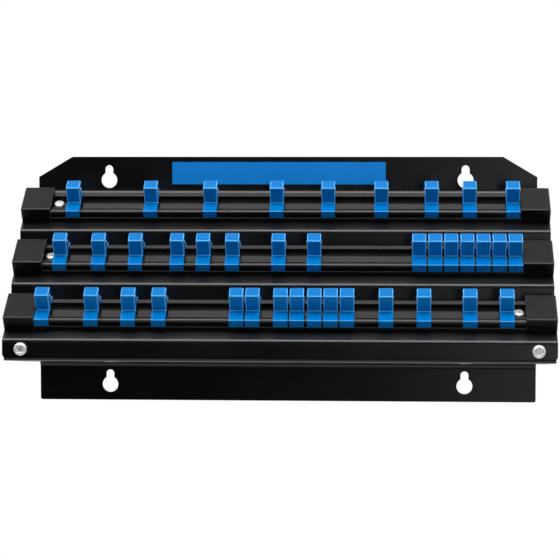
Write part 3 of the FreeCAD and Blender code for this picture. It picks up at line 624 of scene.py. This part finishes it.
pick(clip, "FACE", lambda middle, normal: normal.z > 0.9 and POST_FRONT < middle.y < POST_BACK)
push((0, 0, POST_TIP - SADDLE_TOP))
bevel_edges(clip, lambda middle, along: abs(along.z) > 0.9 and middle.z > SADDLE_TOP, POST_CORNER, 5)
bevel_edges(clip, lambda middle, along: middle.z > POST_TIP - CLOSE, TIP_EDGE, 8)
for y in (POST_FRONT, POST_BACK):
    foot = Vector((y, SADDLE_TOP))
    bevel_edges(
        clip,
        lambda middle, along: abs(along.x) > 0.9 and (middle.yz - foot).length < 10 * CLOSE,
        POST_FOOT,
        4,
    )


def outer_edge(middle, along):
    """Whether an edge lies along the rail on the skirts' outer faces."""
    return abs(along.x) > 0.9 and abs(middle.y) > SADDLE_HALF - CLOSE


bevel_edges(
    clip, lambda middle, along: outer_edge(middle, along) and middle.z > SADDLE_UNDER, FRONT_EDGE, 6
)
bevel_edges(clip, lambda middle, along: outer_edge(middle, along) and middle.z < HOOK_TOP, HOOK_EDGE, 3)
bpy.ops.object.mode_set(mode="OBJECT")

bpy.ops.object.select_all(action="DESELECT")
bpy.ops.mesh.primitive_cylinder_add(
    vertices=32, radius=MOUTH_RADIUS, depth=16 * MM, location=BALL_PLACE, rotation=(0, math.pi / 2, 0)
)
bore = bpy.context.object
bpy.ops.object.transform_apply(location=True, rotation=True, scale=True)
bpy.ops.object.mode_set(mode="EDIT")
for x in (-MOUTH_NARROWS, -MOUTH_STARTS, MOUTH_STARTS, MOUTH_NARROWS):
    slice_at((x, 0, 0), (1, 0, 0))
bpy.ops.mesh.select_mode(type="VERT")
bpy.ops.mesh.select_all(action="DESELECT")
shape = bmesh.from_edit_mesh(bore.data)
for corner in shape.verts:
    corner.select_set(abs(corner.co.x) < MOUTH_STARTS + CLOSE)
shape.select_flush_mode()
bmesh.update_edit_mesh(bore.data)
widening = BORE_RADIUS / MOUTH_RADIUS
bpy.ops.transform.resize(value=(1, widening, widening), center_override=BALL_PLACE)
bpy.ops.object.mode_set(mode="OBJECT")
cut(clip, bore)
finish_edges(clip, MOULDING_EDGE, segments=3, sharper_than=50)
mark_highlight_faces(clip, Matrix(), lambda middle: (middle - BALL_PLACE).yz.length < NEAR_BORE)

# Ball catch. Two steel balls sit in the bore across each post. A coil spring pushes them out against the
# bore's mouths, and they grip the socket.

polished_steel = start_material("polished_steel", (0.95, 0.95, 0.94, 1), 0.45)
polished_steel.node_tree.nodes["Principled BSDF"].inputs["Metallic"].default_value = 1
give_grain(polished_steel, 0.001 * MM, grains=4000, patches=400, mottling=0.03, rubbing=0.03)

WIRE = 0.25 * MM
COIL = 1.75 * MM
TURNS = 5
SPRING_HALF = 2.5 * MM
BALL_RADIUS = 2.5 * MM
BALL_OUT = 4.55 * MM
bpy.ops.object.select_all(action="DESELECT")
bpy.ops.mesh.primitive_circle_add(vertices=8, radius=WIRE, location=(-SPRING_HALF + WIRE, 0, COIL))
spring = bpy.context.object
bpy.ops.object.transform_apply(location=True, rotation=True, scale=True)
bpy.ops.object.modifier_add(type="SCREW")
winding = spring.modifiers[-1]
winding.axis = "X"
winding.angle = TURNS * 2 * math.pi
winding.screw_offset = 2 * (SPRING_HALF - WIRE)
winding.steps = TURNS * 10
winding.render_steps = TURNS * 10
bpy.ops.object.modifier_apply(modifier=winding.name)

bpy.ops.mesh.primitive_uv_sphere_add(
    segments=24, ring_count=14, radius=BALL_RADIUS, location=(BALL_OUT, 0, 0), rotation=(0, math.pi / 2, 0)
)
catch = bpy.context.object
catch.name = "catch_pattern"
bpy.ops.object.transform_apply(location=True, rotation=True, scale=True)
bpy.ops.object.modifier_add(type="MIRROR")
bpy.ops.object.modifier_apply(modifier=catch.modifiers[-1].name)
spring.select_set(True)
catch.select_set(True)
bpy.context.view_layer.objects.active = catch
bpy.ops.object.join()
catch.data.transform(Matrix.Translation(BALL_PLACE))
bpy.ops.object.shade_smooth()

for row, (row_name, count) in enumerate((("top", 9), ("middle", 15), ("bottom", 15))):
    for number in range(1, count + 1):
        node = f"clip_{row_name}_{number}"
        low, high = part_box(node)
        seat = Matrix.Translation(((low.x + high.x) / 2, 0, 0)) @ tread_place(row)
        body = frame["nodes"][node]["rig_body"]
        moulding = bpy.data.objects.new(f"{node}_moulding", clip.data.copy())
        moulding.data.transform(seat)
        bpy.context.collection.objects.link(moulding)
        dress(moulding, clip_plastic, "clip_blue", body, node)
        balls = bpy.data.objects.new(f"{node}_catch", catch.data.copy())
        balls.data.transform(seat)
        bpy.context.collection.objects.link(balls)
        dress(balls, polished_steel, "bright_steel", body, node)
bpy.data.objects.remove(clip)
bpy.data.objects.remove(catch)

# Label plate. A thin plate stuck to the upper wall plate and left plain blue. Its face is smooth and satin,
# and its corners are cut round.

LABEL_PLACE = (-7.4 * MM, -2.25 * MM, 103.69 * MM)
LABEL_SIZE = (201.6 * MM, 0.5 * MM, 21 * MM)
LABEL_CORNER = 0.8 * MM
LABEL_EDGE = 0.1 * MM

label_print = start_material("plain_blue_label", (0.0, 0.195, 0.60, 1), 0.38)
label_print.node_tree.nodes["Principled BSDF"].inputs["Specular IOR Level"].default_value = 0.2
give_grain(label_print, 0.003 * MM, grains=1200, patches=25, mottling=0.04, rubbing=0.05)
bpy.ops.object.select_all(action="DESELECT")
bpy.ops.mesh.primitive_cube_add(size=1, location=LABEL_PLACE, scale=LABEL_SIZE)
label = bpy.context.object
label.name = "label_printed_plate"
bpy.ops.object.transform_apply(location=True, rotation=False, scale=True)
bpy.ops.object.mode_set(mode="EDIT")
bevel_edges(label, lambda middle, along: abs(along.y) > 0.9, LABEL_CORNER, 4)
bpy.ops.object.mode_set(mode="OBJECT")
finish_edges(label, LABEL_EDGE, segments=2, sharper_than=50)
dress(label, label_print, "label_blue", "rack", "label_plate")

# Studio. A plain pale floor well below the rack, which shows as white but keeps the rack's shadow, a white
# room that mirrors as dark in front, a long soft box overhead and a weak one in front to the right.

FLOOR_HEIGHT = -2.2
FLOOR_TONE = (0.85, 0.85, 0.85, 1)
SHADOW_NEAR, SHADOW_FAR = 1.6, 3.4
FLOOR_FRONT, FLOOR_BACK = -1.5, -0.3


def joined(tree, operation, first, second):
    """A math node on two outputs; returns its own output."""
    node = tree.nodes.new("ShaderNodeMath")
    node.operation = operation
    tree.links.new(first, node.inputs[0])
    tree.links.new(second, node.inputs[1])
    return node.outputs["Value"]


def ramp(tree, source, low, high, to_low=0, to_high=1, soft=False):
    """Maps an output from one range to another; returns the mapped output."""
    node = tree.nodes.new("ShaderNodeMapRange")
    if soft:
        node.interpolation_type = "SMOOTHSTEP"
    node.inputs["From Min"].default_value = low
    node.inputs["From Max"].default_value = high
    node.inputs["To Min"].default_value = to_low
    node.inputs["To Max"].default_value = to_high
    tree.links.new(source, node.inputs["Value"])
    return node.outputs["Result"]


# away from the rack's shadow the floor is white to the camera, and to mirrored rays it is white behind the
# rack and dark in front, as the room is
floor_paint = bpy.data.materials.new("pale_floor")
floor_paint.use_nodes = True
tree = floor_paint.node_tree
paint = tree.nodes["Principled BSDF"]
paint.inputs["Base Color"].default_value = FLOOR_TONE
paint.inputs["Roughness"].default_value = 0.8
place = tree.nodes.new("ShaderNodeTexCoord").outputs["Object"]
away = tree.nodes.new("ShaderNodeVectorMath")
away.operation = "LENGTH"
tree.links.new(place, away.inputs[0])
split = tree.nodes.new("ShaderNodeSeparateXYZ")
tree.links.new(place, split.inputs["Vector"])
rays = tree.nodes.new("ShaderNodeLightPath").outputs
mirrored = joined(tree, "MAXIMUM", rays["Is Glossy Ray"], rays["Is Transmission Ray"])
seen = joined(tree, "MAXIMUM", rays["Is Camera Ray"], mirrored)
share = joined(tree, "MULTIPLY", seen, ramp(tree, away.outputs["Value"], SHADOW_NEAR, SHADOW_FAR))
white = tree.nodes.new("ShaderNodeEmission")
behind = ramp(tree, split.outputs["Y"], FLOOR_FRONT, FLOOR_BACK)
strength = joined(tree, "MAXIMUM", rays["Is Camera Ray"], behind)
tree.links.new(strength, white.inputs["Strength"])
mixed = tree.nodes.new("ShaderNodeMixShader")
tree.links.new(share, mixed.inputs["Fac"])
tree.links.new(paint.outputs["BSDF"], mixed.inputs[1])
tree.links.new(white.outputs["Emission"], mixed.inputs[2])
tree.links.new(mixed.outputs["Shader"], tree.nodes["Material Output"].inputs["Surface"])
bpy.ops.object.select_all(action="DESELECT")
bpy.ops.mesh.primitive_plane_add(size=80, location=(0, 0, FLOOR_HEIGHT))
floor = bpy.context.object
floor.name = "studio_floor"
floor.data.materials.append(floor_paint)

FRONT_LEVEL = 0.03
FRONT_FILL = 0.45
BACK_LEVEL = 0.6
ROOM_FRONT, ROOM_BACK = -0.55, 0.25

# the room is white to the camera, to mirrored rays it goes from dark in front of the rack to white behind
# it, and to all other light it is nearly even
world = bpy.data.worlds.new("studio_room")
bpy.context.scene.world = world
world.use_nodes = True
tree = world.node_tree
split = tree.nodes.new("ShaderNodeSeparateXYZ")
tree.links.new(tree.nodes.new("ShaderNodeTexCoord").outputs["Generated"], split.inputs["Vector"])
depth = ramp(tree, split.outputs["Y"], ROOM_FRONT, ROOM_BACK, soft=True)
rays = tree.nodes.new("ShaderNodeLightPath").outputs
mirrored = joined(tree, "MAXIMUM", rays["Is Glossy Ray"], rays["Is Transmission Ray"])
level = tree.nodes.new("ShaderNodeMix")
tree.links.new(depth, level.inputs[0])
tree.links.new(ramp(tree, mirrored, 0, 1, FRONT_FILL, FRONT_LEVEL), level.inputs[2])
tree.links.new(ramp(tree, mirrored, 0, 1, to_low=BACK_LEVEL), level.inputs[3])
shown = tree.nodes.new("ShaderNodeMix")
tree.links.new(rays["Is Camera Ray"], shown.inputs[0])
tree.links.new(level.outputs[0], shown.inputs[2])
shown.inputs[3].default_value = 1
room = tree.nodes["Background"]
room.inputs["Color"].default_value = (1, 1, 1, 1)
tree.links.new(shown.outputs[0], room.inputs["Strength"])


def soft_box(name, place, target, width, height, power):
    """A rectangular lamp that faces a point."""
    lamp = bpy.data.lights.new(name, "AREA")
    lamp.shape = "RECTANGLE"
    lamp.size = width
    lamp.size_y = height
    lamp.energy = power
    box = bpy.data.objects.new(name, lamp)
    bpy.context.collection.objects.link(box)
    box.location = place
    box.rotation_euler = (Vector(target) - Vector(place)).to_track_quat("-Z", "Y").to_euler()


RACK_MIDDLE = (0, -0.07, 0)
soft_box("overhead_soft_box", (0, -0.60, 1.62), RACK_MIDDLE, width=3.0, height=0.8, power=48)
soft_box("right_soft_box", (0.56, -2.00, -0.05), RACK_MIDDLE, width=0.36, height=1.3, power=2.6)

# Camera. It stands a little right of the rack's middle and above it, and looks slightly down and to the
# left.

CAMERA_PLACE = (0.10137, -1.92079, 0.12442)
LOOKS_DOWN = math.radians(3.62)
TURNED_LEFT = math.radians(3.21)
LENS = 130.83

camera_data = bpy.data.cameras.new("photo_camera")
camera_data.sensor_width = 36
camera_data.lens = LENS
camera = bpy.data.objects.new("photo_camera", camera_data)
bpy.context.collection.objects.link(camera)
camera.location = CAMERA_PLACE
camera.rotation_euler = (math.pi / 2 - LOOKS_DOWN, 0, TURNED_LEFT)
bpy.context.scene.camera = camera
bpy.context.scene.view_settings.view_transform = "Standard"
